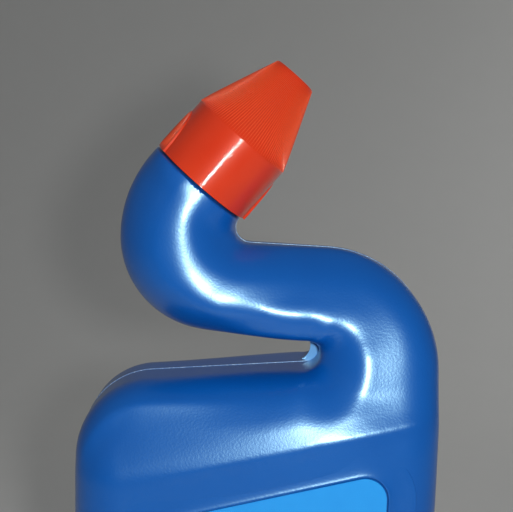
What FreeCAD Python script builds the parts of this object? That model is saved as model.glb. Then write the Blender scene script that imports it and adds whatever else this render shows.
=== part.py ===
import FreeCAD, Part
import Sketcher

import math
import os

# Duck-neck toilet cleaner bottle with a squeeze-and-turn cap.
# Frame: millimetres, +Z up from the standing plane, X across the wide face, the viewer's side at -Y.
# The outline of the bottle lies in the XZ plane, and both halves of the blown shell mirror about it.

V = FreeCAD.Vector
doc = FreeCAD.newDocument("duck_neck_bottle")

# ---------------------------------------------------------------- sizes
sheet = doc.addObject("Spreadsheet::Sheet", "sizes")

SIZES = [
    # body
    ("half_width", 56.0),
    ("half_depth", 30.3),
    ("wall", 1.0),
    ("overlap", 0.6),
    ("base_edge_radius", 6.0),
    ("base_recess_depth", 2.2),
    ("base_recess_margin", 11.0),
    ("base_recess_corner", 10.0),
    ("base_recess_round", 2.0),
    ("shoulder_left_height", 153.2),
    ("shoulder_slope_deg", 4.6),
    ("shoulder_corner_radius", 24.0),
    # slot under the neck
    ("slot_end_x", 19.6),
    ("slot_end_height", 8.9),
    ("web_thickness", 0.8),
    ("web_width", 3.1),
    ("web_rise", 0.6),
    # horizontal run and bend of the neck
    ("run_slope_deg", 2.6),
    ("run_top_height", 197.0),
    ("run_top_slope_deg", 1.9),
    ("bend_radius", 36.0),
    # head of the neck
    ("head_left", 44.2),
    ("head_low_radius", 29.0),
    ("neck_angle_deg", 50.0),
    ("neck_end_x", -19.3),
    ("neck_end_z", 215.3),
    ("neck_end_inner", 16.1),
    ("neck_end_outer", 17.6),
    ("neck_end_edge_radius", 1.0),
    ("neck_half_depth", 17.3),
    # wedge that thins the body towards the neck
    ("crease_height", 134.4),
    ("crease_slope_deg", 12.0),
    ("crease_radius", 20.0),
    ("wedge_lean_deg", 17.0),
    ("wedge_sweep_radius", 50.0),
    # roundings between the faces and the rim of the outline
    ("round_body", 16.0),
    ("round_shoulder", 22.0),
    ("round_slot_low", 18.0),
    ("round_slot_top", 11.0),
    ("round_run", 10.5),
    ("round_head", 14.5),
    ("round_neck_end", 15.5),
    ("round_run_top", 13.0),
    ("round_bend", 12.0),
    # neck finish
    ("finish_radius", 12.6),
    ("finish_height", 17.0),
    ("finish_bore_radius", 10.4),
    ("bead_radius", 13.4),
    ("bead_height", 2.2),
    # label panels
    ("label_right", 39.5),
    ("label_left", 36.0),
    ("label_bottom", 17.0),
    ("label_top_right", 132.7),
    ("label_top_slope_deg", 14.0),
    ("label_corner_radius", 6.5),
    ("label_thickness", 0.2),
    ("panel_depth", 0.5),
    ("panel_gap", 0.5),
    ("rim_height", 0.7),
    ("rim_width", 0.9),
    ("rim_ramp", 2.4),
    ("rim_edge_radius", 0.5),
    # dosing plug
    ("plug_depth", 8.0),
    ("plug_wall", 1.2),
    ("flange_radius", 12.2),
    ("flange_thickness", 1.0),
    ("spout_base_radius", 5.2),
    ("spout_tip_radius", 3.2),
    ("spout_height", 10.0),
    ("orifice_length", 3.0),
    ("orifice_radius", 1.6),
    # cap
    ("cap_gap", 0.7),
    ("skirt_base_radius", 17.15),
    ("skirt_height", 18.8),
    ("shoulder_radius", 17.0),
    ("cone_height", 25.2),
    ("cone_tip_radius", 6.95),
    ("cap_wall", 1.4),
    ("sleeve_radius", 13.95),
    ("sleeve_wall", 1.0),
    ("sleeve_lift", 0.5),
    ("pad_base_radius", 17.8),
    ("pad_top_radius", 17.35),
    ("pad_height", 14.6),
    ("pad_half_width", 5.8),
    ("pad_turn_deg", 12.0),
    ("cap_edge_radius", 0.35),
    ("seat_radius", 8.8),
    ("seat_wall", 1.2),
    # gasket
    ("seal_inner_radius", 7.6),
    ("seal_outer_radius", 13.6),
    ("seal_thickness", 1.0),
]
for row, (word, number) in enumerate(SIZES, start=1):
    sheet.set("A%d" % row, word)
    sheet.set("B%d" % row, repr(number))
    sheet.setAlias("B%d" % row, word)
doc.recompute()


def size(word):
    return float(sheet.get(word))


half_width = size("half_width")
half_depth = size("half_depth")
neck_half_depth = size("neck_half_depth")
wall = size("wall")

axis_angle = math.radians(size("neck_angle_deg"))
neck_axis = V(math.cos(axis_angle), 0, math.sin(axis_angle))
neck_side = V(math.sin(axis_angle), 0, -math.cos(axis_angle))
neck_end = V(size("neck_end_x"), 0, size("neck_end_z"))
neck_turn = FreeCAD.Rotation(V(0, 1, 0), 90 - size("neck_angle_deg"))

lean = math.radians(size("wedge_lean_deg"))

FAR = 400.0
FLOOR_DEPTH = 60.0


# ---------------------------------------------------------------- small helpers
def bind(thing, words):
    """Binds properties of a document object to expressions on the sheet."""
    for word, expression in words.items():
        thing.setExpression(word, expression)


def primitive(kind, name, words, placement=None):
    thing = doc.addObject("Part::" + kind, name)
    bind(thing, words)
    if placement:
        thing.Placement = placement
    return thing


def joined(kind, name, base, tool):
    thing = doc.addObject("Part::" + kind, name)
    thing.Base = base
    thing.Tool = tool
    return thing


def fused(name, things):
    thing = doc.addObject("Part::MultiFuse", name)
    thing.Shapes = things
    return thing


def filleted(name, base, radius, wanted):
    """Part::Fillet of one radius on the edges of base that wanted accepts."""
    doc.recompute()
    thing = doc.addObject("Part::Fillet", name)
    thing.Base = base
    thing.Edges = [
        (number, radius, radius)
        for number, edge in enumerate(base.Shape.Edges, start=1)
        if wanted(edge)
    ]
    doc.recompute()
    return thing


def on_axis(distance):
    """Placement on the neck axis, distance beyond the neck end, with local Z along the axis."""
    return FreeCAD.Placement(neck_end + neck_axis * distance, neck_turn)


def level_edge(height):
    def wanted(edge):
        box = edge.BoundBox
        return abs(box.ZMin - height) < 1e-4 and abs(box.ZMax - height) < 1e-4

    return wanted


# ---------------------------------------------------------------- outline
def line_point(point, slope, x):
    """Height of a sloped line at x."""
    return point[1] + (x - point[0]) * math.tan(slope)


def outline_points():
    """Corners of the outline in (x, z), each with its rounding radius, anticlockwise from the neck end."""
    near = neck_end + neck_side * size("neck_end_inner")
    far = neck_end - neck_side * size("neck_end_outer")
    run_slope = -math.radians(size("run_slope_deg"))
    top_slope = -math.radians(size("run_top_slope_deg"))
    shoulder_slope = math.radians(size("shoulder_slope_deg"))
    left = -size("head_left")
    slot_x = size("slot_end_x")
    shoulder_left = (-half_width, size("shoulder_left_height"))

    # inner corner of the head: the neck end line runs back along the axis to the top of the run
    top_line = (0.0, size("run_top_height"))
    back = (near.z - line_point(top_line, top_slope, near.x)) / (
        neck_axis.z - neck_axis.x * math.tan(top_slope)
    )
    inner = (near.x - neck_axis.x * back, near.z - neck_axis.z * back)
    inner_turn = math.pi - (axis_angle - top_slope)
    inner_radius = back / math.tan(inner_turn / 2)

    # full round at the end of the slot
    slot_floor = line_point(shoulder_left, shoulder_slope, slot_x)
    slot_roof = slot_floor + size("slot_end_height")
    slot_radius = (slot_roof - slot_floor) / (
        math.tan((math.pi / 2 + run_slope) / 2)
        + math.tan((math.pi / 2 - shoulder_slope) / 2)
    )

    # head of the neck: low arc, then the arc that leads to the neck end
    low_corner = line_point((slot_x, slot_roof), run_slope, left)
    high_corner = far.z - (far.x - left) * math.tan(axis_angle)
    low_reach = size("head_low_radius") * math.tan((math.pi / 2 + run_slope) / 2)
    high_reach = high_corner - low_corner - low_reach
    high_radius = high_reach / math.tan((math.pi / 2 - axis_angle) / 2)

    return [
        (near.x, near.z, 0.0),
        (inner[0], inner[1], inner_radius),
        (half_width, line_point(top_line, top_slope, half_width), size("bend_radius")),
        (half_width, -FLOOR_DEPTH, 0.0),
        (-half_width, -FLOOR_DEPTH, 0.0),
        (shoulder_left[0], shoulder_left[1], size("shoulder_corner_radius")),
        (slot_x, slot_floor, slot_radius),
        (slot_x, slot_roof, slot_radius),
        (left, low_corner, size("head_low_radius")),
        (left, high_corner, high_radius),
        (far.x, far.z, 0.0),
    ]


def rounded_wire(corners):
    """Closed wire in the XZ plane through the corners, rounded by their radii, and its junctions."""
    spots = []
    for number, (x, z, radius) in enumerate(corners):
        here = V(x, 0, z)
        before = V(corners[number - 1][0], 0, corners[number - 1][1])
        after_corner = corners[(number + 1) % len(corners)]
        after = V(after_corner[0], 0, after_corner[1])
        to_before = (before - here).normalize()
        to_after = (after - here).normalize()
        if radius == 0.0:
            spots.append((here, None, here))
            continue
        angle = to_before.getAngle(to_after)
        reach = radius / math.tan(angle / 2)
        start = here + to_before * reach
        finish = here + to_after * reach
        middle = here + (to_before + to_after).normalize() * (
            radius / math.sin(angle / 2) - radius
        )
        spots.append((start, middle, finish))
    edges = []
    for number, (start, middle, finish) in enumerate(spots):
        if middle is not None:
            edges.append(Part.Arc(start, middle, finish).toShape())
        following = spots[(number + 1) % len(spots)][0]
        if (following - finish).Length > 1e-4:
            edges.append(Part.makeLine(finish, following))
    return Part.Wire(Part.__sortEdges__(edges)), spots


def wedge_slab(inset):
    """Slab as deep as the body whose faces lean in above the crease and sweep into the neck."""
    deep = half_depth - inset
    slim = neck_half_depth - inset
    sweep = size("wedge_sweep_radius") + inset
    crease = size("crease_height") - inset * math.tan(lean / 2)
    crease_radius = size("crease_radius") - inset
    crease_reach = crease_radius * math.tan(lean / 2)
    crease_bow = crease_radius * (1 / math.cos(lean / 2) - 1)
    sweep_start_depth = slim + sweep * (1 - math.cos(lean))
    sweep_start = crease + (deep - sweep_start_depth) / math.tan(lean)
    sweep_end = sweep_start + sweep * math.sin(lean)
    sweep_mid = sweep_end - sweep * math.sin(lean / 2)
    sweep_mid_depth = slim + sweep * (1 - math.cos(lean / 2))
    edges = []
    for side in (-1, 1):
        corners = [
            V(0, side * deep, -FAR / 2),
            V(0, side * deep, crease - crease_reach),
            V(0, side * (deep - crease_reach * math.sin(lean)), crease + crease_reach * math.cos(lean)),
            V(0, side * sweep_start_depth, sweep_start),
            V(0, side * slim, sweep_end),
            V(0, side * slim, FAR),
        ]
        edges.append(Part.makeLine(corners[0], corners[1]))
        bow = V(0, side * (deep - crease_bow * math.cos(lean / 2)), crease - crease_bow * math.sin(lean / 2))
        edges.append(Part.Arc(corners[1], bow, corners[2]).toShape())
        edges.append(Part.makeLine(corners[2], corners[3]))
        bow = V(0, side * sweep_mid_depth, sweep_mid)
        edges.append(Part.Arc(corners[3], bow, corners[4]).toShape())
        edges.append(Part.makeLine(corners[4], corners[5]))
    edges.append(Part.makeLine(V(0, -deep, -FAR / 2), V(0, deep, -FAR / 2)))
    edges.append(Part.makeLine(V(0, -slim, FAR), V(0, slim, FAR)))
    slab = Part.Face(Part.Wire(Part.__sortEdges__(edges))).extrude(V(FAR, 0, 0))
    slab.translate(V(-FAR / 2, 0, 0))
    slab.rotate(V(0, 0, 0), V(0, 1, 0), -size("crease_slope_deg"))
    return slab


def middle_of(edge):
    return edge.valueAt((edge.FirstParameter + edge.LastParameter) / 2)


def ends_of(edge):
    return edge.valueAt(edge.FirstParameter), edge.valueAt(edge.LastParameter)


def is_rim_edge(solid, edge, side):
    """True for an edge between the broad face on that side and the rim, away from neck end and foot."""
    first, last = ends_of(edge)
    middle = middle_of(edge)
    if min(first.y * side, last.y * side, middle.y * side) < neck_half_depth / 2:
        return False
    if max(first.z, last.z) < -FLOOR_DEPTH / 2:
        return False
    rim_faces = 0
    for face in solid.ancestorsOfType(edge, Part.Face):
        u, v = face.Surface.parameter(middle)
        normal = face.normalAt(u, v)
        if abs(normal.y) > 1e-3:
            continue
        if abs(normal.dot(neck_axis)) > 0.999 and middle.z > size("run_top_height") + 10:
            return False
        rim_faces += 1
    return rim_faces == 1


def rim_chains(solid, starts, side):
    """Rim edges of one half in order from each start, as (first point, links).

    A link is (edge number, runs forward, length, end point).
    """
    left = {}
    for number, edge in enumerate(solid.Edges, start=1):
        if is_rim_edge(solid, edge, side):
            left[number] = edge
    chains = []
    for start in starts:
        ends = [point for edge in left.values() for point in ends_of(edge)]
        here = min(ends, key=lambda point: (point - start).Length)
        first = here
        links = []
        while True:
            found = None
            for number, edge in left.items():
                a, b = ends_of(edge)
                if (a - here).Length < 1e-3:
                    found = (number, True, edge.Length, b)
                elif (b - here).Length < 1e-3:
                    found = (number, False, edge.Length, a)
                if found:
                    break
            if not found:
                break
            del left[found[0]]
            links.append(found)
            here = found[3]
        chains.append((first, links))
    return chains


def graded_radii(first, chain, marks, reach):
    """Radius at each joint of the chain: the marked ones as given, the rest by length between them."""
    places = [first] + [link[3] for link in chain]
    run = [0.0]
    for link in chain:
        run.append(run[-1] + link[2])
    known = []
    for place, distance in zip(places, run):
        away, radius = min((math.hypot(place.x - x, place.z - z), radius) for x, z, radius in marks)
        if away < reach:
            known.append((distance, radius))
    radii = []
    for distance in run:
        before = [k for k in known if k[0] <= distance + 1e-6]
        after = [k for k in known if k[0] >= distance - 1e-6]
        if not before:
            radii.append(after[0][1])
        elif not after:
            radii.append(before[-1][1])
        else:
            (d0, r0), (d1, r1) = before[-1], after[0]
            share = 0.0 if d1 - d0 < 1e-6 else (distance - d0) / (d1 - d0)
            radii.append(r0 + (r1 - r0) * share)
    return radii


def rim_marks(spots, inset):
    """Places (x, z) along the outline where a rounding radius is set, with that radius."""
    rounding = {word: size(word) - inset for word, number in SIZES if word.startswith("round_")}
    named = [
        (spots[0][0], "round_neck_end"),
        (spots[1][2], "round_run_top"),
        (spots[2][0], "round_run_top"),
        (spots[2][2], "round_bend"),
        (V(half_width, 0, -FLOOR_DEPTH), "round_bend"),
        (V(-half_width, 0, -FLOOR_DEPTH), "round_body"),
        (spots[5][0], "round_body"),
        (spots[5][2], "round_shoulder"),
        (spots[6][0], "round_slot_low"),
        (spots[7][2], "round_slot_top"),
        (spots[8][0], "round_run"),
        (spots[8][2], "round_head"),
        (spots[10][2], "round_neck_end"),
    ]
    return [(spot.x, spot.z, rounding[word]) for spot, word in named]


def blown_half(name, inset, side):
    """Half of the blown form on one side of the parting plane, rounded along its rim."""
    wire, spots = rounded_wire(outline_points())
    if inset:
        wire = wire.makeOffset2D(-inset, 0, False, False)
    plate = Part.Face(wire).extrude(V(0, side * 2 * half_depth, 0))
    blank = doc.addObject("Part::Feature", name + "_blank")
    blank.Shape = plate.common(wedge_slab(inset)).Solids[0]
    marks = rim_marks(spots, inset)
    reach = 0.8 + 1.5 * inset
    starts = [V(spot.x, side * neck_half_depth, spot.z) for spot in (spots[0][0], spots[10][0])]
    fillets = []
    for first, links in rim_chains(blank.Shape, starts, side):
        radii = graded_radii(first, links, marks, reach)
        for place, (number, forward, length, end) in enumerate(links):
            pair = (radii[place], radii[place + 1])
            if not forward:
                pair = (pair[1], pair[0])
            fillets.append((number, pair[0], pair[1]))
    half = doc.addObject("Part::Fillet", name)
    half.Base = blank
    half.Edges = fillets
    doc.recompute()
    return half


def blown_form(name, inset):
    """The blown form of the bottle, drawn in by inset on every side, as a document object."""
    front = blown_half(name + "_front", inset, -1)
    back = blown_half(name + "_back", inset, 1)
    whole = joined("Fuse", name + "_whole", front, back)
    doc.recompute()
    return whole


outer = blown_form("outer", 0.0)
inner = blown_form("inner", wall)


# ---------------------------------------------------------------- foot of the bottle
def footed(name, form, floor, edge_radius, floor_words):
    """Cuts a form flat at the floor height and rounds the edge there."""
    block = primitive("Box", name + "_block", {
        "Length": "4 * sizes.half_width",
        "Width": "4 * sizes.half_depth",
        "Placement.Base.x": "-2 * sizes.half_width",
        "Placement.Base.y": "-2 * sizes.half_depth",
        "Placement.Base.z": floor_words,
    })
    block.Height = FAR
    cut = joined("Common", name + "_cut", form, block)
    return filleted(name + "_footed", cut, edge_radius, level_edge(floor))


outer_foot = footed("outer", outer, 0.0, size("base_edge_radius"), "0")
inner_foot = footed("inner", inner, wall, size("base_edge_radius") - wall, "sizes.wall")


def dimple(name, grow):
    """Block that pushes up the base, grown by a wall thickness for the inside."""
    block = primitive("Box", name + "_block", {
        "Length": "2 * (sizes.half_width - sizes.base_recess_margin + %g)" % grow,
        "Width": "2 * (sizes.half_depth - sizes.base_recess_margin + %g)" % grow,
        "Height": "2 * sizes.base_recess_depth + %g" % grow,
        "Placement.Base.x": "-(sizes.half_width - sizes.base_recess_margin + %g)" % grow,
        "Placement.Base.y": "-(sizes.half_depth - sizes.base_recess_margin + %g)" % grow,
        "Placement.Base.z": "-sizes.base_recess_depth",
    })
    corner = size("base_recess_corner") + grow

    def upright(edge):
        return abs(edge.BoundBox.ZLength - edge.Length) < 1e-4

    rounded = filleted(name + "_corners", block, corner, upright)
    top = size("base_recess_depth") + grow
    return filleted(name, rounded, size("base_recess_round"), level_edge(top))


recess = dimple("base_recess", 0.0)
recess_inside = dimple("base_recess_inside", wall)

# ---------------------------------------------------------------- neck finish
finish = primitive("Cylinder", "finish", {
    "Radius": "sizes.finish_radius",
    "Height": "sizes.finish_height + sizes.overlap",
}, on_axis(-size("overlap")))
bead = primitive("Cylinder", "bead", {
    "Radius": "sizes.bead_radius",
    "Height": "sizes.bead_height + sizes.overlap",
}, on_axis(-size("overlap")))
bore = primitive("Cylinder", "bore", {
    "Radius": "sizes.finish_bore_radius",
    "Height": "sizes.finish_height + 4 * sizes.wall + 5",
}, on_axis(-4 * wall))

# ---------------------------------------------------------------- web at the end of the slot
spots = rounded_wire(outline_points())[1]
slot_radius = outline_points()[6][2]
slot_centre = V(size("slot_end_x") - slot_radius, 0, (spots[6][1].z + spots[7][1].z) / 2)
lie_down = FreeCAD.Rotation(V(1, 0, 0), 90)
web_disc = primitive("Cylinder", "web_disc", {"Height": "sizes.web_thickness"})
web_disc.Radius = slot_radius + wall / 2
web_disc.Placement = FreeCAD.Placement(slot_centre + V(0, size("web_thickness") / 2, 0), lie_down)
web_bite = primitive("Cylinder", "web_bite", {"Height": "4 * sizes.web_thickness"})
web_bite.Radius = slot_radius + wall / 2
web_bite.Placement = FreeCAD.Placement(
    slot_centre + V(-size("web_width"), 2 * size("web_thickness"), size("web_rise")), lie_down
)
web = joined("Cut", "web", web_disc, web_bite)


# ---------------------------------------------------------------- label panels
def label_corners(grow):
    """Corners of the label outline in (x, z, radius), grown outwards."""
    slope = math.radians(size("label_top_slope_deg"))
    right = size("label_right")
    left = -size("label_left")
    bottom = size("label_bottom")
    high = size("label_top_right")
    radius = size("label_corner_radius")
    points = [
        V(right, 0, high),
        V(left, 0, high - (right - left) * math.tan(slope)),
        V(left, 0, bottom),
        V(right, 0, bottom),
    ]
    rise = grow / math.cos(slope)
    return [
        (points[0].x + grow, points[0].z + rise + grow * math.tan(slope), radius + grow),
        (points[1].x - grow, points[1].z + rise - grow * math.tan(slope), radius + grow),
        (points[2].x - grow, points[2].z - grow, radius + grow),
        (points[3].x + grow, points[3].z - grow, radius + grow),
    ]


def label_wire(grow, y):
    wire = rounded_wire(label_corners(grow))[0]
    wire.translate(V(0, y, 0))
    return wire


face_y = -half_depth
floor_y = -(half_depth - size("panel_depth"))
rim_y = -(half_depth + size("rim_height"))
gap = size("panel_gap")
rim_out = gap + size("rim_width")
ramp = size("rim_ramp")
bury = size("overlap")
rim_blank = doc.addObject("Part::Feature", "rim_blank")
rim_blank.Shape = Part.makeLoft(
    [
        label_wire(rim_out + ramp * (1 + bury / size("rim_height")), face_y + bury),
        label_wire(rim_out, rim_y),
    ],
    True,
    True,
)


def at_depth(y):
    def wanted(edge):
        box = edge.BoundBox
        return abs(box.YMin - y) < 1e-4 and abs(box.YMax - y) < 1e-4

    return wanted


rim = filleted("rim", rim_blank, size("rim_edge_radius"), at_depth(rim_y))
pocket = doc.addObject("Part::Feature", "pocket")
pocket.Shape = Part.Face(label_wire(gap, floor_y)).extrude(V(0, 2 * (rim_y - floor_y), 0))


def mirrored(name, source):
    thing = doc.addObject("Part::Mirroring", name)
    thing.Source = source
    thing.Normal = V(0, 1, 0)
    return thing


rim_back = mirrored("rim_back", rim)
pocket_back = mirrored("pocket_back", pocket)

# ---------------------------------------------------------------- the blown shell
skin = fused("skin", [outer_foot, rim, rim_back, web])
skin_edged = filleted(
    "skin_edged", skin, size("neck_end_edge_radius"),
    lambda edge: abs((middle_of(edge) - neck_end).dot(neck_axis)) < 1e-3
    and abs((ends_of(edge)[0] - neck_end).dot(neck_axis)) < 1e-3,
)
solid_bottle = fused("solid_bottle", [skin_edged, finish, bead])
cuts = fused("cuts", [pocket, pocket_back, recess])
carved = joined("Cut", "carved", solid_bottle, cuts)
cavity = joined("Cut", "cavity", inner_foot, recess_inside)
hollow = fused("hollow", [cavity, bore])
bottle = joined("Cut", "bottle", carved, hollow)
doc.recompute()


# ---------------------------------------------------------------- sketched parts
def sketched(name, corners):
    """Body with a sketch on its XZ plane: a closed chain of lines through corners, each (across, up)."""
    body = doc.addObject("PartDesign::Body", name)
    sketch = body.newObject("Sketcher::SketchObject", name + "_profile")
    plane = [feature for feature in body.Origin.OriginFeatures if feature.Role == "XZ_Plane"][0]
    sketch.AttachmentSupport = [(plane, "")]
    sketch.MapMode = "FlatFace"
    count = len(corners)
    points = [V(across[0], up[0], 0) for across, up in corners]
    for number in range(count):
        sketch.addGeometry(Part.LineSegment(points[number], points[(number + 1) % count]), False)
    for number in range(count):
        sketch.addConstraint(Sketcher.Constraint("Coincident", number, 2, (number + 1) % count, 1))
    for number, (across, up) in enumerate(corners):
        if across[0] == 0.0:
            sketch.addConstraint(Sketcher.Constraint("PointOnObject", number, 1, -2))
        else:
            place = sketch.addConstraint(Sketcher.Constraint("DistanceX", -1, 1, number, 1, across[0]))
            sketch.setExpression("Constraints[%d]" % place, across[1])
        if up[0] == 0.0:
            sketch.addConstraint(Sketcher.Constraint("PointOnObject", number, 1, -1))
        else:
            place = sketch.addConstraint(Sketcher.Constraint("DistanceY", -1, 1, number, 1, up[0]))
            sketch.setExpression("Constraints[%d]" % place, up[1])
    return body, sketch


def turned(name, profile):
    """Body revolved about its Z axis from a profile of (radius, height) lengths."""
    body, sketch = sketched(name, profile)
    solid = body.newObject("PartDesign::Revolution", name + "_turned")
    solid.Profile = sketch
    solid.ReferenceAxis = (sketch, ["V_Axis"])
    solid.Angle = 360
    return body


def total(words):
    """A length as (number, expression), from words such as 'plug_depth + flange_thickness - 2'."""
    amount = 0.0
    sign = 1.0
    parts = []
    for word in words.split():
        if word in "+-":
            sign = 1.0 if word == "+" else -1.0
            parts.append(word)
        elif word[0].isdigit():
            amount += sign * float(word)
            parts.append(word)
        else:
            amount += sign * size(word)
            parts.append("sizes." + word)
    return (amount, " ".join(parts))


ZERO = (0.0, "0")

# dosing plug: the open-bottomed plug, its flange on the finish, and the conical spout with its orifice
plug_inside = total("finish_bore_radius - plug_wall")
plug_floor = total("plug_depth - flange_thickness")
flange_under = total("plug_depth")
flange_top = total("plug_depth + flange_thickness")
spout_top = total("plug_depth + flange_thickness + spout_height")
orifice = total("orifice_radius")
nozzle_insert = turned("nozzle_insert", [
    (total("finish_bore_radius"), ZERO),
    (total("finish_bore_radius"), flange_under),
    (total("flange_radius"), flange_under),
    (total("flange_radius"), flange_top),
    (total("spout_base_radius"), flange_top),
    (total("spout_tip_radius"), spout_top),
    (orifice, spout_top),
    (orifice, total("plug_depth + flange_thickness + spout_height - orifice_length")),
    (total("spout_base_radius - plug_wall"), flange_under),
    (total("spout_base_radius - plug_wall"), plug_floor),
    (plug_inside, plug_floor),
    (plug_inside, ZERO),
])
nozzle_insert.Placement = on_axis(size("finish_height") - size("plug_depth"))

# cap: one moulding with a skirt, a hollow cone, the thread sleeve and the seat that presses the gasket
cone_slope = "(sizes.shoulder_radius - sizes.cone_tip_radius) / sizes.cone_height"
cone_fall = (size("shoulder_radius") - size("cone_tip_radius")) / size("cone_height")


def under_cone(words):
    """Height on the cone's inner face where its radius is the length given in words."""
    radius = total(words)
    number = size("skirt_height") + (size("shoulder_radius") - size("cap_wall") - radius[0]) / cone_fall
    formula = "sizes.skirt_height + (sizes.shoulder_radius - sizes.cap_wall - (%s)) / (%s)"
    return (number, formula % (radius[1], cone_slope))


seat_height = total("finish_height + flange_thickness + seal_thickness - cap_gap")
cap_top = total("skirt_height + cone_height")
roof_height = total("skirt_height + cone_height - cap_wall")
roof_radius = (
    size("shoulder_radius") - size("cap_wall") - cone_fall * (roof_height[0] - size("skirt_height")),
    "sizes.shoulder_radius - sizes.cap_wall - (%s) * (sizes.cone_height - sizes.cap_wall)" % cone_slope,
)
sleeve_foot = total("sleeve_lift")
cap_turned = turned("cap_turned", [
    (total("skirt_base_radius"), ZERO),
    (total("shoulder_radius"), total("skirt_height")),
    (total("cone_tip_radius"), cap_top),
    (ZERO, cap_top),
    (ZERO, roof_height),
    (roof_radius, roof_height),
    (total("seat_radius"), under_cone("seat_radius")),
    (total("seat_radius"), seat_height),
    (total("seat_radius + seat_wall"), seat_height),
    (total("seat_radius + seat_wall"), under_cone("seat_radius + seat_wall")),
    (total("sleeve_radius"), under_cone("sleeve_radius")),
    (total("sleeve_radius"), sleeve_foot),
    (total("sleeve_radius + sleeve_wall"), sleeve_foot),
    (total("sleeve_radius + sleeve_wall"), under_cone("sleeve_radius + sleeve_wall")),
    (total("shoulder_radius - cap_wall"), total("skirt_height")),
    (total("skirt_base_radius - cap_wall"), ZERO),
])

# two squeeze pads, proud of the skirt on its left and right, each with an arched top
pad_drum = primitive("Cone", "pad_drum", {
    "Radius1": "sizes.pad_base_radius",
    "Radius2": "sizes.pad_top_radius",
    "Height": "sizes.pad_height + sizes.overlap",
})
pad_core = primitive("Cone", "pad_core", {
    "Radius1": "sizes.skirt_base_radius - sizes.overlap",
    "Radius2": "sizes.shoulder_radius - sizes.overlap",
    "Height": "sizes.pad_height + sizes.overlap",
})
pad_ring = joined("Cut", "pad_ring", pad_drum, pad_core)
arch = doc.addObject("Part::Feature", "pad_arch")
arch_curve = Part.Ellipse(V(0, 0, size("pad_height")), V(0, size("pad_half_width"), 0), V(0, 0, 0)).toShape()
arch.Shape = Part.Face(Part.Wire(arch_curve)).extrude(V(4 * size("pad_base_radius"), 0, 0))
turned_aside = FreeCAD.Rotation(V(0, 0, 1), size("pad_turn_deg"))
arch.Placement = FreeCAD.Placement(turned_aside.multVec(V(-2 * size("pad_base_radius"), 0, 0)), turned_aside)
pads = joined("Common", "pads", pad_ring, arch)
cap_whole = joined("Fuse", "cap_whole", cap_turned, pads)
shoulder_reach = 2 * size("shoulder_radius") - size("cap_edge_radius")
cap = filleted(
    "cap", cap_whole, size("cap_edge_radius"),
    lambda edge: edge.BoundBox.ZMin > cap_top[0] - 1e-3
    or (level_edge(size("skirt_height"))(edge) and edge.BoundBox.XLength > shoulder_reach),
)
cap.Placement = on_axis(size("cap_gap"))

# gasket ring between the flange of the plug and the seat in the cap
cap_seal = turned("cap_seal", [
    (total("seal_inner_radius"), ZERO),
    (total("seal_outer_radius"), ZERO),
    (total("seal_outer_radius"), total("seal_thickness")),
    (total("seal_inner_radius"), total("seal_thickness")),
])
cap_seal.Placement = on_axis(size("finish_height") + size("flange_thickness"))


# ---------------------------------------------------------------- labels
label_rise = "(sizes.label_right + sizes.label_left) * tan(sizes.label_top_slope_deg * 1deg)"
label_fall = (size("label_right") + size("label_left")) * math.tan(math.radians(size("label_top_slope_deg")))


def label_film(name, depth, backwards):
    """Film label with rounded corners, padded off the floor of its panel towards the outside."""
    right = total("label_right")
    left = (-size("label_left"), "-sizes.label_left")
    body, sketch = sketched(name, [
        (right, total("label_bottom")),
        (right, total("label_top_right")),
        (left, (size("label_top_right") - label_fall, "sizes.label_top_right - " + label_rise)),
        (left, total("label_bottom")),
    ])
    pad = body.newObject("PartDesign::Pad", name + "_film")
    pad.Profile = sketch
    pad.setExpression("Length", "sizes.label_thickness")
    pad.Reversed = backwards
    doc.recompute()
    across = [
        "Edge%d" % number
        for number, edge in enumerate(pad.Shape.Edges, start=1)
        if abs(edge.BoundBox.YLength - edge.Length) < 1e-6
    ]
    corners = body.newObject("PartDesign::Fillet", name + "_corners")
    corners.Base = (pad, across)
    corners.setExpression("Radius", "sizes.label_corner_radius")
    body.Placement = FreeCAD.Placement(V(0, depth, 0), FreeCAD.Rotation())
    return body


front_label = label_film("front_label", floor_y, False)
back_label = label_film("back_label", -floor_y, True)

# ---------------------------------------------------------------- check and write
NODES = [bottle, nozzle_insert, cap, cap_seal, front_label, back_label]
doc.recompute()
for thing in doc.Objects:
    if "Invalid" in thing.State or "Error" in thing.State:
        raise SystemExit("%s did not build" % thing.Name)
for node in NODES:
    if node.Shape.isNull() or not node.Shape.isValid() or len(node.Shape.Solids) != 1:
        raise SystemExit("%s is not one valid solid" % node.Name)
os.makedirs("parts", exist_ok=True)
for node in NODES:
    node.Label = node.Name
    print(node.Label, round(node.Shape.Volume), "mm3")
    node.Shape.exportStep("parts/%s.step" % node.Label)
print("filled to the brim, ml:", round(hollow.Shape.Volume / 1000))
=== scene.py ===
import math

import bmesh
import bpy
import numpy as np
from mathutils import Matrix, Vector


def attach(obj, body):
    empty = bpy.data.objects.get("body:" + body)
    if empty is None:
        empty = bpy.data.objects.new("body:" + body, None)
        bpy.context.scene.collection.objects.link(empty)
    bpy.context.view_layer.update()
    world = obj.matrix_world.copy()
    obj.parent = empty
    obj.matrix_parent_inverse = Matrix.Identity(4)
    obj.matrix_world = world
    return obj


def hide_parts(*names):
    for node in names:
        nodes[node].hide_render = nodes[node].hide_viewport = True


# Duck-neck toilet cleaner bottle: looks, small details, light and camera.
# Metres, in the row frame: +Z up from the standing plane, front face towards -Y.

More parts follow.
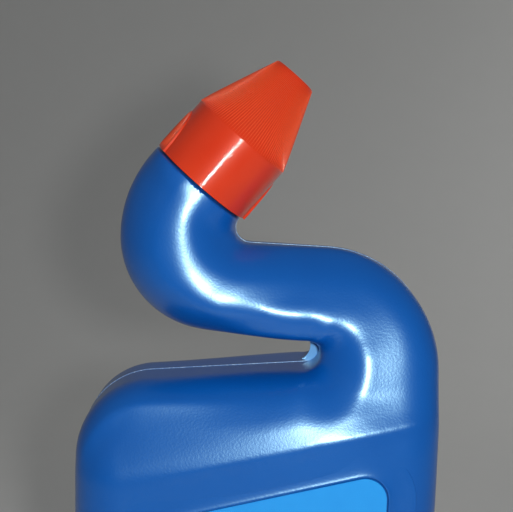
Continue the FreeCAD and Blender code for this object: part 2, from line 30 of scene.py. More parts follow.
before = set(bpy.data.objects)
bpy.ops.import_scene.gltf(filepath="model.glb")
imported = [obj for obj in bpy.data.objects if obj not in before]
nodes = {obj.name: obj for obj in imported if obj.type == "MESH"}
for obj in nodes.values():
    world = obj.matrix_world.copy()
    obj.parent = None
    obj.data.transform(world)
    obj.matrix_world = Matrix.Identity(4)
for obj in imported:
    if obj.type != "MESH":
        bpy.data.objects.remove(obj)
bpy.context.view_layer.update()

MM = 0.001
NECK_END = Vector((-19.3, 0, 215.3)) * MM
NECK_TILT = math.radians(40)
NECK = Matrix.Translation(NECK_END) @ Matrix.Rotation(NECK_TILT, 4, "Y")
NECK_WAY = NECK.to_3x3() @ Vector((0, 0, 1))
CAP_GAP = 0.7 * MM
THREAD_PITCH = 4.23 * MM


# ---------------------------------------------------------------- node helpers
def add_node(tree, kind, inputs=None, **settings):
    """A node of that kind with its settings, and its inputs set or linked by name or number."""
    node = tree.nodes.new(kind)
    for word, setting in settings.items():
        setattr(node, word, setting)
    for word, value in (inputs or {}).items():
        socket = node.inputs[word]
        if isinstance(value, bpy.types.NodeSocket):
            tree.links.new(value, socket)
        else:
            socket.default_value = value
    return node


def maths(tree, operation, *values, clamp=False):
    node = add_node(tree, "ShaderNodeMath", dict(enumerate(values)), operation=operation)
    node.use_clamp = clamp
    return node.outputs[0]


def mix_colour(tree, share, first, second, blend="MIX"):
    node = add_node(tree, "ShaderNodeMix", data_type="RGBA", blend_type=blend)
    for socket, value in ((node.inputs[0], share), (node.inputs[6], first), (node.inputs[7], second)):
        if isinstance(value, bpy.types.NodeSocket):
            tree.links.new(value, socket)
        else:
            socket.default_value = value
    return node.outputs[2]


def ramp_between(tree, value, low, high, to_low=0.0, to_high=1.0):
    """Smooth step of value from low to high."""
    node = add_node(
        tree, "ShaderNodeMapRange",
        {"Value": value, "From Min": low, "From Max": high, "To Min": to_low, "To Max": to_high},
        interpolation_type="SMOOTHSTEP",
    )
    return node.outputs[0]


def new_group(name, inputs, outputs):
    """Shader node group with float inputs {name: default} and outputs {name: socket type}."""
    tree = bpy.data.node_groups.new(name, "ShaderNodeTree")
    for word, default in inputs.items():
        socket = tree.interface.new_socket(word, in_out="INPUT", socket_type="NodeSocketFloat")
        socket.default_value = default
    for word, kind in outputs.items():
        tree.interface.new_socket(word, in_out="OUTPUT", socket_type=kind)
    return tree, tree.nodes.new("NodeGroupInput"), tree.nodes.new("NodeGroupOutput")


def place_group(tree, group, **inputs):
    node = tree.nodes.new("ShaderNodeGroup")
    node.node_tree = group
    for word, value in inputs.items():
        socket = node.inputs[word.replace("_", " ")]
        if isinstance(value, bpy.types.NodeSocket):
            tree.links.new(value, socket)
        else:
            socket.default_value = value
    return node


def colour(red, green, blue):
    """Linear colour of an sRGB triple out of 255."""
    def linear(part):
        part /= 255
        return part / 12.92 if part <= 0.04045 else ((part + 0.055) / 1.055) ** 2.4

    return (linear(red), linear(green), linear(blue), 1.0)


# ---------------------------------------------------------------- shared surface effects
def make_moulded_skin():
    """Fine grain of a moulded plastic skin: height in metres, mask of its spots, and a slow cloudiness."""
    tree, entry, exit_node = new_group(
        "moulded skin",
        {"Grain Size": 0.0006, "Grain Height": 0.00001, "Wave Size": 0.012, "Wave Height": 0.00001},
        {"Height": "NodeSocketFloat", "Spots": "NodeSocketFloat", "Cloud": "NodeSocketFloat"},
    )
    where = add_node(tree, "ShaderNodeTexCoord").outputs["Object"]
    grain_scale = maths(tree, "DIVIDE", 1.0, entry.outputs["Grain Size"])
    grain = add_node(
        tree, "ShaderNodeTexNoise",
        {"Vector": where, "Scale": grain_scale, "Detail": 2.0, "Roughness": 0.6},
    ).outputs["Fac"]
    wave_scale = maths(tree, "DIVIDE", 1.0, entry.outputs["Wave Size"])
    wave = add_node(
        tree, "ShaderNodeTexNoise",
        {"Vector": where, "Scale": wave_scale, "Detail": 1.0},
    ).outputs["Fac"]
    fine = maths(tree, "MULTIPLY", grain, entry.outputs["Grain Height"])
    slow = maths(tree, "MULTIPLY", wave, entry.outputs["Wave Height"])
    tree.links.new(maths(tree, "ADD", fine, slow), exit_node.inputs["Height"])
    tree.links.new(ramp_between(tree, grain, 0.45, 0.75), exit_node.inputs["Spots"])
    tree.links.new(wave, exit_node.inputs["Cloud"])
    return tree


MOULDED = make_moulded_skin()


def start_material(name):
    material = bpy.data.materials.new(name)
    material.use_nodes = True
    tree = material.node_tree
    tree.nodes.clear()
    shader = tree.nodes.new("ShaderNodeBsdfPrincipled")
    output = tree.nodes.new("ShaderNodeOutputMaterial")
    tree.links.new(shader.outputs[0], output.inputs[0])
    return material, tree, shader


def bump(tree, shader, height):
    """Feeds a height in metres to the shader's normal."""
    node = add_node(tree, "ShaderNodeBump", {"Height": height, "Distance": 1.0, "Strength": 1.0})
    tree.links.new(node.outputs[0], shader.inputs["Normal"])


# ---------------------------------------------------------------- materials
def bottle_material():
    material, tree, shader = start_material("bottle blue")
    where = add_node(tree, "ShaderNodeTexCoord").outputs["Object"]
    axes = add_node(tree, "ShaderNodeSeparateXYZ", {0: where}).outputs
    skin = place_group(
        tree, MOULDED, Grain_Size=0.0007, Grain_Height=0.00004, Wave_Size=0.02, Wave_Height=0.00003,
    )
    # mould parting line, all round the outline in the XZ plane: a raised bead, with a painted highlight in
    # pale colour along it
    away = maths(tree, "ABSOLUTE", axes[1])
    line = ramp_between(tree, away, 0.00008, 0.00032, 1.0, 0.0)
    painted_highlight_speckle = maths(tree, "ADD", maths(tree, "MULTIPLY", skin.outputs["Spots"], 0.8), 0.35, clamp=True)
    parting_line_painted_highlight = maths(tree, "MULTIPLY", line, painted_highlight_speckle)
    base = mix_colour(tree, skin.outputs["Cloud"], colour(0, 84, 172), colour(0, 92, 182))
    # the thin web at the end of the slot is painted paler, as painted light for the light that comes through
    # it on such a bottle
    slot = add_node(
        tree, "ShaderNodeVectorMath",
        {0: where, 1: (0.0152, 0.0, 0.1634)}, operation="DISTANCE",
    ).outputs["Value"]
    web_painted_light = maths(
        tree, "MULTIPLY",
        ramp_between(tree, slot, 0.0046, 0.0049, 1.0, 0.0),
        ramp_between(tree, away, 0.0006, 0.0012, 1.0, 0.0),
    )
    base = mix_colour(tree, maths(tree, "MULTIPLY", web_painted_light, 0.8), base, colour(120, 185, 240))
    # painted highlight: the parting line is painted near white in speckles, as if the lamp caught the bead
    base = mix_colour(tree, parting_line_painted_highlight, base, colour(200, 225, 245))
    tree.links.new(base, shader.inputs["Base Color"])
    rough = maths(tree, "ADD", maths(tree, "MULTIPLY", skin.outputs["Cloud"], 0.04), 0.31)
    tree.links.new(rough, shader.inputs["Roughness"])
    shader.inputs["IOR"].default_value = 1.54
    shader.inputs["Specular IOR Level"].default_value = 1.0
    shader.inputs["Specular Tint"].default_value = (0.45, 0.85, 1.0, 1.0)
    gloss = maths(tree, "ADD", maths(tree, "MULTIPLY", skin.outputs["Cloud"], 0.06), 0.2)
    tree.links.new(gloss, shader.inputs["Coat Roughness"])
    shader.inputs["Coat Weight"].default_value = 0.35
    shader.inputs["Coat IOR"].default_value = 1.54
    height = maths(tree, "ADD", skin.outputs["Height"], maths(tree, "MULTIPLY", line, 0.00006))
    bump(tree, shader, height)
    return material


def cap_material(name, first, second):
    material, tree, shader = start_material(name)
    skin = place_group(
        tree, MOULDED, Grain_Size=0.0005, Grain_Height=0.000003, Wave_Size=0.01, Wave_Height=0.00002,
    )
    base = mix_colour(tree, skin.outputs["Cloud"], first, second)
    tree.links.new(base, shader.inputs["Base Color"])
    rough = maths(tree, "ADD", maths(tree, "MULTIPLY", skin.outputs["Cloud"], 0.05), 0.3)
    tree.links.new(rough, shader.inputs["Roughness"])
    shader.inputs["IOR"].default_value = 1.45
    shader.inputs["Specular Tint"].default_value = (1.0, 0.5, 0.4, 1.0)
    gloss = maths(tree, "ADD", maths(tree, "MULTIPLY", skin.outputs["Cloud"], 0.03), 0.03)
    tree.links.new(gloss, shader.inputs["Coat Roughness"])
    shader.inputs["Coat Weight"].default_value = 0.9
    shader.inputs["Coat IOR"].default_value = 1.45
    # faint turning marks of the mould, round the axis
    where = add_node(tree, "ShaderNodeTexCoord").outputs["Object"]
    along = add_node(
        tree, "ShaderNodeVectorMath", {0: where, 1: tuple(NECK_WAY)}, operation="DOT_PRODUCT",
    ).outputs["Value"]
    mark = add_node(
        tree, "ShaderNodeTexNoise",
        {"W": maths(tree, "MULTIPLY", along, 9000.0), "Scale": 1.0, "Detail": 1.0}, noise_dimensions="1D",
    ).outputs["Fac"]
    marks = add_node(tree, "ShaderNodeBump", {
        "Height": maths(tree, "MULTIPLY", mark, 0.000028), "Distance": 1.0, "Strength": 1.0})
    tree.links.new(marks.outputs[0], shader.inputs["Coat Normal"])
    bump(tree, shader, skin.outputs["Height"])
    return material


def plain_plastic(name, first, second, roughness, grain):
    material, tree, shader = start_material(name)
    skin = place_group(
        tree, MOULDED, Grain_Size=0.0006, Grain_Height=grain, Wave_Size=0.006, Wave_Height=0.00001,
    )
    tree.links.new(mix_colour(tree, skin.outputs["Cloud"], first, second), shader.inputs["Base Color"])
    rough = maths(tree, "ADD", maths(tree, "MULTIPLY", skin.outputs["Spots"], 0.08), roughness)
    tree.links.new(rough, shader.inputs["Roughness"])
    bump(tree, shader, skin.outputs["Height"])
    return material


BOTTLE_BLUE = bottle_material()
CAP_RED = cap_material("cap red", colour(214, 52, 20), colour(220, 60, 26))
# the ribs are the cap's own red painted lighter: painted light, for the light the ribs catch and throw back
RIB_RED_PAINTED_LIGHTER = cap_material("cap rib red painted lighter", colour(228, 76, 38), colour(232, 84, 44))
PLUG_WHITE = plain_plastic("plug natural", colour(226, 228, 222), colour(236, 238, 232), 0.35, 0.000004)
SEAL_FOAM = plain_plastic("seal foam", colour(232, 232, 228), colour(242, 242, 240), 0.75, 0.00003)
LABEL_FILM = plain_plastic("label film", colour(36, 154, 238), colour(41, 162, 244), 0.3, 0.000003)

for name, material in (
    ("bottle", BOTTLE_BLUE),
    ("cap", CAP_RED),
    ("nozzle_insert", PLUG_WHITE),
    ("cap_seal", SEAL_FOAM),
    ("front_label", LABEL_FILM),
    ("back_label", LABEL_FILM),
):
    nodes[name].data.materials.clear()
    nodes[name].data.materials.append(material)


# ---------------------------------------------------------------- blown skin of the bottle
# A smoothed skin made from the solid bottle, with crisp trim laid over it. On the neck and the bend it is
# rounder than the solid and lies up to 4 mm inside it.
NECK_CUT = -0.3 * MM
NECK_STUB = 6.0 * MM
# how far from the neck's axis, and how far below its end, the cut still counts as the neck
NECK_REACH = 22 * MM
NECK_REACH_BELOW = -12 * MM
SKIN_CELL = 0.95 * MM
# the thin web of the solid lies within these limits
WEB_SPACE_X = (0.004, 0.0215)
WEB_SPACE_Z = (0.155, 0.172)
WEB_SPACE_Y = 0.41 * MM


def copy_of(node, name):
    """World-space mesh object with the shape of a CAD node."""
    mesh = nodes[node].data.copy()
    mesh.name = name
    mesh.transform(nodes[node].matrix_world)
    piece = bpy.data.objects.new(name, mesh)
    bpy.context.scene.collection.objects.link(piece)
    return piece


def stands_for_bottle(piece):
    """Marks a piece as part of what is seen in place of the solid bottle."""
    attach(piece, "bottle_body")
    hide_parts("bottle")
    return piece


def cut_at_neck(mesh, level, keep_below, clear=None, stub=0.0):
    """Cuts the neck of the mesh across its axis at that level, keeps one side, draws it out and closes it."""
    form = bmesh.new()
    form.from_mesh(mesh)
    bmesh.ops.remove_doubles(form, verts=form.verts, dist=2e-6)
    if clear:
        clear(form)

    def beyond(spot):
        """Height of a spot over the cut, or None away from the neck."""
        offset = spot - NECK_END
        height = offset.dot(NECK_WAY)
        if (offset - height * NECK_WAY).length > NECK_REACH or height < NECK_REACH_BELOW:
            return None
        return height - level

    near = [face for face in form.faces if any(beyond(vertex.co) is not None for vertex in face.verts)]
    edges = list({edge for face in near for edge in face.edges})
    vertices = list({vertex for face in near for vertex in face.verts})
    bmesh.ops.bisect_plane(
        form, geom=vertices + edges + near, dist=1e-7,
        plane_co=NECK_END + NECK_WAY * level, plane_no=NECK_WAY,
    )
    dropped = []
    for vertex in form.verts:
        height = beyond(vertex.co)
        above = height is not None and height > -1e-6
        below = height is None or height < 1e-6
        if not (below if keep_below else above):
            dropped.append(vertex)
    bmesh.ops.delete(form, geom=dropped, context="VERTS")
    if keep_below:
        keep_outermost(form)
    rim = [edge for edge in form.edges if edge.is_boundary]
    if stub:
        drawn = bmesh.ops.extrude_edge_only(form, edges=rim)["geom"]
        drawn = [part for part in drawn if isinstance(part, bmesh.types.BMVert)]
        bmesh.ops.translate(form, verts=drawn, vec=NECK_WAY * stub)
        rim = [edge for edge in form.edges if edge.is_boundary]
    bmesh.ops.holes_fill(form, edges=rim, sides=0)
    form.to_mesh(mesh)
    form.free()


def keep_outermost(form):
    """Drops every separate surface but the widest one."""
    left = set(form.verts)
    shells = []
    while left:
        front = [left.pop()]
        shell = set(front)
        while front:
            vertex = front.pop()
            for edge in vertex.link_edges:
                other = edge.other_vert(vertex)
                if other in left:
                    left.discard(other)
                    shell.add(other)
                    front.append(other)
        shells.append(shell)
    widest = max(shells, key=lambda shell: max(v.co.x for v in shell) - min(v.co.x for v in shell))
    bmesh.ops.delete(form, geom=[v for v in form.verts if v not in widest], context="VERTS")


def close_web(form):
    """Takes out the thin web at the end of the slot and closes the wall behind it."""
    web_painted_light = []
    for face in form.faces:
        middle = face.calc_center_median()
        near = WEB_SPACE_X[0] < middle.x < WEB_SPACE_X[1] and WEB_SPACE_Z[0] < middle.z < WEB_SPACE_Z[1]
        if near and all(abs(vertex.co.y) < WEB_SPACE_Y for vertex in face.verts):
            web_painted_light.append(face)
    bmesh.ops.delete(form, geom=web_painted_light, context="FACES")
    loose = [vertex for vertex in form.verts if not vertex.link_faces]
    bmesh.ops.delete(form, geom=loose, context="VERTS")
    edge_points = {v for edge in form.edges if edge.is_boundary for v in edge.verts}
    for vertex in edge_points:
        vertex.co.y = 0.0
    bmesh.ops.remove_doubles(form, verts=list(edge_points), dist=1e-5)


def away_from_line(points, corners):
    """Distance of each point to a polyline, positive on its left."""
    best = np.full(len(points), np.inf)
    side = np.ones(len(points))
    for first, last in zip(corners[:-1], corners[1:]):
        first = np.array(first)
        way = np.array(last) - first
        length = np.hypot(*way)
        way = way / length
        offset = points - first
        run = np.clip(offset @ way, 0.0, length)
        gap = offset - run[:, None] * way
        distance = np.hypot(gap[:, 0], gap[:, 1])
        nearer = distance < best
        best = np.where(nearer, distance, best)
        turn = way[0] * offset[:, 1] - way[1] * offset[:, 0]
        side = np.where(nearer, np.where(turn >= 0, 1.0, -1.0), side)
    return best * side


def smooth_step(value, low, high):
    share = np.clip((value - low) / (high - low), 0.0, 1.0)
    return share * share * (3 - 2 * share)


def arc_points(centre, radius, start, end, count):
    """Points of an arc in (x, z), with angles in degrees."""
    angles = np.radians(np.linspace(start, end, count))
    return [(centre[0] + radius * math.cos(a), centre[1] + radius * math.sin(a)) for a in angles]


# crest down the middle of the neck, along the low side of the run and round the end of the slot
CREST = [
    (-9.0, 227.6), (-19.3, 215.3), (-23.7, 208.5), (-25.7, 202.0), (-25.4, 195.0), (-23.3, 188.4),
    (-18.9, 182.6), (-12.4, 178.4), (-1.5, 175.8), (13.6, 174.8), (22.5, 173.0), (28.6, 169.6),
    (32.0, 164.5), (32.6, 158.0), (29.0, 150.0), (22.0, 144.0),
]
SLOT_CENTRE = (14.9, 163.6)
# the two edges of the outline either side of the crest
FAR_EDGE = (
    [(5.5, 217.4), (-5.8, 204.0), (-7.7, 200.3), (-3.9, 197.2), (1.1, 197.0), (20.0, 196.4)]
    + arc_points((20.0, 160.4), 36.0, 90, 0, 19)
    + [(56.0, 120.0)]
)
NEAR_EDGE = (
    [(-22.0, 239.5), (-35.3, 223.6), (-38.3, 219.5), (-40.6, 215.1), (-42.4, 210.4), (-43.6, 205.6)]
    + arc_points((-15.1, 199.3), 29.0, 180, 271, 19)
    + [(14.0, 168.4)]
)


# The functions from here to shape_skin say by what share the skin stands nearer to or farther from the
# middle plane. Their amounts were set until a lamp beside the viewer drew its gleam along the crest.
# They are a fit to that gleam and were not measured on a bottle.
NECK_FALL = 0.05
NECK_ROUNDING = 0.27
LOW_NECK_ROUNDING = 0.1
LOW_NECK = (-14.0, 187.0)
RUN_FALL = 0.22
RUN_ROUNDING = 0.35
RUN_NEAR_RISE = 0.18
CREST_SOFTNESS = 0.15
BEND_FALL = 0.085
BEND_EDGE_FULLNESS = 0.1
SLOT_SIDE_FALL = 0.26
FLARE = 0.1
FLARE_STEP = 0.028
RUN_RISE = 0.052
RUN_DIP = 0.026
RUN_DIP_PLACE = (21.5, 175.0)


def hump(x, z, place, spread):
    """Soft round hump of height 1 about a place; spread is its reach squared."""
    return np.exp(-((x - place[0]) ** 2 + (z - place[1]) ** 2) / spread)


def tube_width(x, z, far, far_share, near_share, from_neck):
    """Share of the solid's width on the neck, passing over into the run."""
    neck_share = np.where(far, far_share, near_share)
    lean = 1 + 0.0035 * np.clip(206.0 - z, -6.0, 22.0)
    rounding = NECK_ROUNDING + LOW_NECK_ROUNDING * hump(x, z, LOW_NECK, 98.0)
    neck = (1 - NECK_FALL * neck_share - rounding * neck_share ** 2) * lean
    eased = np.sqrt(far_share ** 2 + CREST_SOFTNESS ** 2) - CREST_SOFTNESS
    far_side = 1 - RUN_FALL * eased - RUN_ROUNDING * far_share ** 2
    run = np.where(far, far_side, 1 + RUN_NEAR_RISE * near_share ** 1.5)
    return neck + from_neck * (run - neck)


def bend_width(x, z, heading, far, far_share, to_far):
    """Share of the solid's width round the bend, from the end of the slot outwards."""
    reach = np.hypot(x - SLOT_CENTRE[0], z - SLOT_CENTRE[1])
    slot_side = 1 - SLOT_SIDE_FALL * (1 - smooth_step(reach, 4.0, 18.5))
    thinner = 1 - 0.06 * smooth_step(z, 137.0, 158.0) - 0.04 * smooth_step(heading, 10.0, 50.0)
    fuller = 1 + BEND_EDGE_FULLNESS * np.clip(1 - to_far / 13.0, 0.0, 1.0) ** 2
    return slot_side * thinner * np.where(far, (1.0 - BEND_FALL * far_share) * fuller, 1.0)


def shape_skin(corners):
    """Rounds the neck, the run and the bend across their width, working in millimetres."""
    spots = corners[:, [0, 2]]
    x, z = spots.T
    beyond = away_from_line(spots, CREST)
    to_far = np.abs(away_from_line(spots, FAR_EDGE))
    to_near = np.abs(away_from_line(spots, NEAR_EDGE))
    out = np.abs(beyond)
    far_share = out / np.maximum(out + to_far, 0.1)
    near_share = out / np.maximum(out + to_near, 0.1)
    far = beyond >= 0
    # direction seen from the end of the slot: 90 is up into the run, 0 is across the bend
    heading = np.degrees(np.arctan2(z - SLOT_CENTRE[1], x - SLOT_CENTRE[0]))
    above_slot = smooth_step(heading, 20.0, 70.0)
    in_bend = smooth_step(heading, -115.0, -20.0) * (1 - above_slot)
    from_neck = smooth_step(x - 0.6 * (z - 175.0), -18.0, 4.0)
    tube = tube_width(x, z, far, far_share, near_share, from_neck)
    bend = bend_width(x, z, heading, far, far_share, to_far)
    # the skin keeps the solid's width where the collar meets the neck finish, and swells below it
    end_x, end_z = NECK_END.x / MM, NECK_END.z / MM
    below_neck = -((x - end_x) * NECK_WAY.x + (z - end_z) * NECK_WAY.z)
    beside_neck = np.abs((x - end_x) * NECK_WAY.z - (z - end_z) * NECK_WAY.x)
    at_neck = 1 - smooth_step(beside_neck, 19.0, 24.0)
    held = (1 - smooth_step(below_neck, 0.5, 9.0)) * at_neck
    drop = np.clip((below_neck - 0.3) / 16.0, 0.0, 1.0)
    flare = FLARE * (drop - 0.5 * drop ** 2) + FLARE_STEP * smooth_step(below_neck, 0.5, 9.0)
    flare *= (1 - from_neck) * above_slot
    level = RUN_RISE * np.exp(-((x - 3.0) / 10.5) ** 2) * above_slot
    level -= RUN_DIP * hump(x, z, RUN_DIP_PLACE, 25.0)
    shaped = corners.copy()
    shaped[:, 1] *= 1 + flare + level + (1 - held) * (above_slot * (tube - 1) + in_bend * (bend - 1))
    return shaped


def smoothed(corners, links, rounds, step=0.5, back=-0.52):
    """Evens out the corners of a mesh over its edges without shrinking it."""
    count = np.bincount(links.ravel(), minlength=len(corners)).astype(float)[:, None]
    for turn in range(2 * rounds):
        total = np.zeros_like(corners)
        for axis in range(3):
            total[:, axis] += np.bincount(links[:, 0], corners[links[:, 1], axis], len(corners))
            total[:, axis] += np.bincount(links[:, 1], corners[links[:, 0], axis], len(corners))
        corners = corners + (step if turn % 2 == 0 else back) * (total / count - corners)
    return corners


def panel_outline(grow, per_corner=14):
    """Outline of a label panel in (x, z) millimetres, grown outwards, with rounded corners."""
    slope = math.radians(14.0)
    left, right, bottom, high, radius = -36.0, 39.5, 17.0, 132.7, 6.5
    low = high - (right - left) * math.tan(slope)
    square = [(right, bottom), (right, high), (left, low), (left, bottom)]
    starts = [270.0, 0.0, 90.0 + 14.0, 180.0]
    ends = [360.0, 90.0 + 14.0, 180.0, 270.0]
    outline = []
    for (x, z), start, end in zip(square, starts, ends):
        spot = np.array((x, z))
        here = square.index((x, z))
        before = np.array(square[here - 1]) - spot
        after = np.array(square[(here + 1) % 4]) - spot
        before /= np.hypot(*before)
        after /= np.hypot(*after)
        half = math.acos(float(before @ after)) / 2
        middle = (before + after) / np.hypot(*(before + after))
        centre = spot + middle * radius / math.sin(half)
        outline += arc_points(tuple(centre), radius + grow, start, end, per_corner)
    return outline


def inside_outline(points, outline):
    """Signed distance of each point to a closed convex outline, positive inside."""
    return away_from_line(points, outline + outline[:1])


BODY_HALF_DEPTH = 30.3
PANEL_HALF_DEPTH = 29.6
CREASE_HEIGHT = 136.5
CREASE_SLOPE = math.tan(math.radians(12.9))
CREASE_REACH = 5.0


def level_panels(corners):
    """Levels the broad faces behind the label panels: the film and the raised rims lie over them."""
    for_panel = inside_outline(corners[:, [0, 2]], panel_outline(0.0))
    depth = np.where(for_panel > -1.6, PANEL_HALF_DEPTH, BODY_HALF_DEPTH)
    broad = (for_panel > -5.0) & (np.abs(corners[:, 1]) > 28.0)
    corners[:, 1] = np.where(broad, np.sign(corners[:, 1]) * depth, corners[:, 1])
    return corners


def even_out_neck(corners, links):
    """Smooths the neck, the run and the bend further, away from the slot's end and the parting line."""
    reach = np.hypot(corners[:, 0] - SLOT_CENTRE[0], corners[:, 2] - SLOT_CENTRE[1])
    even = smooth_step(corners[:, 2], 140.0, 148.0) * smooth_step(reach, 6.0, 10.0)
    even *= smooth_step(np.abs(corners[:, 1]), 5.0, 13.0)
    corners += even[:, None] * (smoothed(corners, links, 110) - corners)
    return corners


def crisp_crease(corners):
    """Sharpens the crease where the broad faces start to lean in, and leans the left shoulder in a little."""
    over = corners[:, 2] - CREASE_HEIGHT - corners[:, 0] * CREASE_SLOPE
    rise = 0.3 + 0.006 * np.clip(corners[:, 0], 0.0, 45.0)
    below = rise * np.clip(1 + over / CREASE_REACH, 0.0, 1.0) ** 2
    above = rise - (rise + 0.1) * (1 - np.clip(1 - over / CREASE_REACH, 0.0, 1.0) ** 2)
    above -= 0.3 * smooth_step(over, 4.0, 12.0)
    crisp = np.where(over < 0, below, above) * smooth_step(corners[:, 0], -42.0, -12.0)
    crisp -= 0.06 * np.clip(4.0 - corners[:, 0], 0.0, 45.0) * smooth_step(over, 0.0, 23.0)
    broad = smooth_step(np.abs(corners[:, 1]), 22.0, 27.0)
    corners[:, 1] += np.sign(corners[:, 1]) * crisp * broad
    return corners


def bottle_skin():
    piece = copy_of("bottle", "bottle_skin")
    cut_at_neck(piece.data, NECK_CUT, True, close_web, NECK_STUB)
    shrink = piece.modifiers.new("cells", "REMESH")
    shrink.mode = "VOXEL"
    shrink.voxel_size = SKIN_CELL
    graph = bpy.context.evaluated_depsgraph_get()
    mesh = bpy.data.meshes.new_from_object(piece.evaluated_get(graph), depsgraph=graph)
    piece.modifiers.clear()
    piece.data = mesh
    corners = np.empty(3 * len(mesh.vertices))
    mesh.vertices.foreach_get("co", corners)
    corners = corners.reshape(-1, 3) / MM
    links = np.empty(2 * len(mesh.edges), dtype=np.int64)
    mesh.edges.foreach_get("vertices", links)
    links = links.reshape(-1, 2)
    corners = smoothed(level_panels(corners), links, 14)
    corners[:, 1] = np.clip(corners[:, 1], -BODY_HALF_DEPTH, BODY_HALF_DEPTH)
    corners = smoothed(shape_skin(corners), links, 4)
    corners = crisp_crease(even_out_neck(corners, links))
    mesh.vertices.foreach_set("co", (corners * MM).ravel())
    mesh.update()
    cut_at_neck(mesh, NECK_CUT, True)
    mesh.materials.clear()
    mesh.materials.append(BOTTLE_BLUE)
    mesh.shade_smooth()
    return stands_for_bottle(piece)


def ring_piece(name, rows, material, flip):
    """Closed ring swept round the label panel: rows of (growth, depth) in millimetres, inner edge first."""
    loops = [panel_outline(grow) for grow, _ in rows]
    size = len(loops[0])
    corners = []
    for loop, (_, depth) in zip(loops, rows):
        corners += [(x, depth if flip else -depth, z) for x, z in loop]
    corners = (shape_skin(np.array(corners)) * MM).tolist()
    faces = []
    for row in range(len(rows)):
        after = (row + 1) % len(rows)
        for spot in range(size):
            beside = (spot + 1) % size
            face = (row * size + spot, row * size + beside, after * size + beside, after * size + spot)
            faces.append(face if flip else face[::-1])
    mesh = bpy.data.meshes.new(name)
    mesh.from_pydata(corners, [], faces)
    mesh.materials.append(material)
    mesh.shade_smooth()
    piece = bpy.data.objects.new(name, mesh)
    bpy.context.scene.collection.objects.link(piece)
    return stands_for_bottle(piece)


# the raised line round a label panel, across its section: a narrow crown, then a long soft fall
RIM_ROWS = [
    (0.5, 29.4), (0.5, 30.62), (0.56, 30.84), (0.7, 30.97), (0.9, 31.02), (1.12, 30.97), (1.4, 30.86),
    (1.9, 30.74), (2.6, 30.62), (3.6, 30.5), (5.0, 30.39), (6.8, 30.31), (8.8, 30.27), (9.0, 30.2),
    (9.0, 29.4),
]


def neck_lip():
    piece = copy_of("bottle", "neck_finish")
    cut_at_neck(piece.data, NECK_CUT, False)
    piece.data.materials.clear()
    piece.data.materials.append(BOTTLE_BLUE)
    piece.data.shade_smooth()
    piece.data.set_sharp_from_angle(angle=math.radians(35))
    return stands_for_bottle(piece)


WEB_RADIUS = 5.1
WEB_BITE = (-3.1, 0.6)
WEB_STEPS = 32
WEB_HALF_THICKNESS = 0.4


def web_piece():
    """Thin crescent of skin left across the end of the slot."""
    centre = np.array(SLOT_CENTRE)
    radius = WEB_RADIUS
    bite = centre + WEB_BITE
    outline = []
    inner = []
    for step in range(WEB_STEPS + 1):
        angle = math.radians(-62 + 165 * step / WEB_STEPS)
        way = np.array((math.cos(angle), math.sin(angle)))
        outline.append(centre + radius * way)
        # where the same ray from the bite's centre meets the bite
        inner.append(bite + radius * way)
    corners = []
    half = WEB_HALF_THICKNESS
    for spot_out, spot_in in zip(outline, inner):
        corners += [(spot_out[0], -half, spot_out[1]), (spot_out[0], half, spot_out[1])]
        corners += [(spot_in[0], half, spot_in[1]), (spot_in[0], -half, spot_in[1])]
    corners = [tuple(c * MM for c in corner) for corner in corners]
    faces = []
    for step in range(WEB_STEPS):
        here = 4 * step
        for corner in range(4):
            after = (corner + 1) % 4
            faces.append((here + corner, here + 4 + corner, here + 4 + after, here + after))
    faces.append((0, 1, 2, 3))
    end = 4 * WEB_STEPS
    faces.append((end + 3, end + 2, end + 1, end))
    mesh = bpy.data.meshes.new("slot_web")
    mesh.from_pydata(corners, [], faces)
    form = bmesh.new()
    form.from_mesh(mesh)
    bmesh.ops.recalc_face_normals(form, faces=form.faces[:])
    if form.calc_volume(signed=True) < 0:
        bmesh.ops.reverse_faces(form, faces=form.faces[:])
    form.to_mesh(mesh)
    form.free()
    mesh.materials.append(BOTTLE_BLUE)
    piece = bpy.data.objects.new("slot_web", mesh)
    bpy.context.scene.collection.objects.link(piece)
    return stands_for_bottle(piece)


def parting_ridge(skin):
    """Fine bead the mould leaves all round the skin where its two halves met."""
    form = bmesh.new()
    form.from_mesh(skin.data)
    cut = bmesh.ops.bisect_plane(
        form, geom=form.verts[:] + form.edges[:] + form.faces[:], dist=1e-7,
        plane_co=(0, 0, 0), plane_no=(0, 1, 0),
    )["geom_cut"]
    links = {}
    for edge in cut:
        if isinstance(edge, bmesh.types.BMEdge):
            first, last = edge.verts
            links.setdefault(first, []).append(last)
            links.setdefault(last, []).append(first)
    start = min(links, key=lambda vertex: vertex.co.z)
    loop = [start]
    before, here = None, start
    while True:
        after = next((v for v in links[here] if v is not before and v not in loop[1:3]), None)
        if after is None or after is start:
            break
        loop.append(after)
        before, here = here, after
    curve = bpy.data.curves.new("parting_ridge", "CURVE")
    curve.dimensions = "3D"
    spline = curve.splines.new("POLY")
    spline.points.add(len(loop) - 1)
    for point, vertex in zip(spline.points, loop):
        point.co = (*vertex.co, 1.0)
    spline.use_cyclic_u = True
    form.free()
    curve.bevel_depth = 0.16 * MM
    curve.bevel_resolution = 1
    maker = bpy.data.objects.new("ridge_maker", curve)
    bpy.context.scene.collection.objects.link(maker)
    graph = bpy.context.evaluated_depsgraph_get()
    mesh = bpy.data.meshes.new_from_object(maker.evaluated_get(graph), depsgraph=graph)
    bpy.data.objects.remove(maker)
    mesh.name = "parting_ridge"
    mesh.materials.clear()
    mesh.materials.append(BOTTLE_BLUE)
    mesh.shade_smooth()
    piece = bpy.data.objects.new("parting_ridge", mesh)
    bpy.context.scene.collection.objects.link(piece)
    return stands_for_bottle(piece)


parting_ridge(bottle_skin())
neck_lip()
ring_piece("front_rim", RIM_ROWS, BOTTLE_BLUE, False)
ring_piece("back_rim", RIM_ROWS, BOTTLE_BLUE, True)
web_piece()


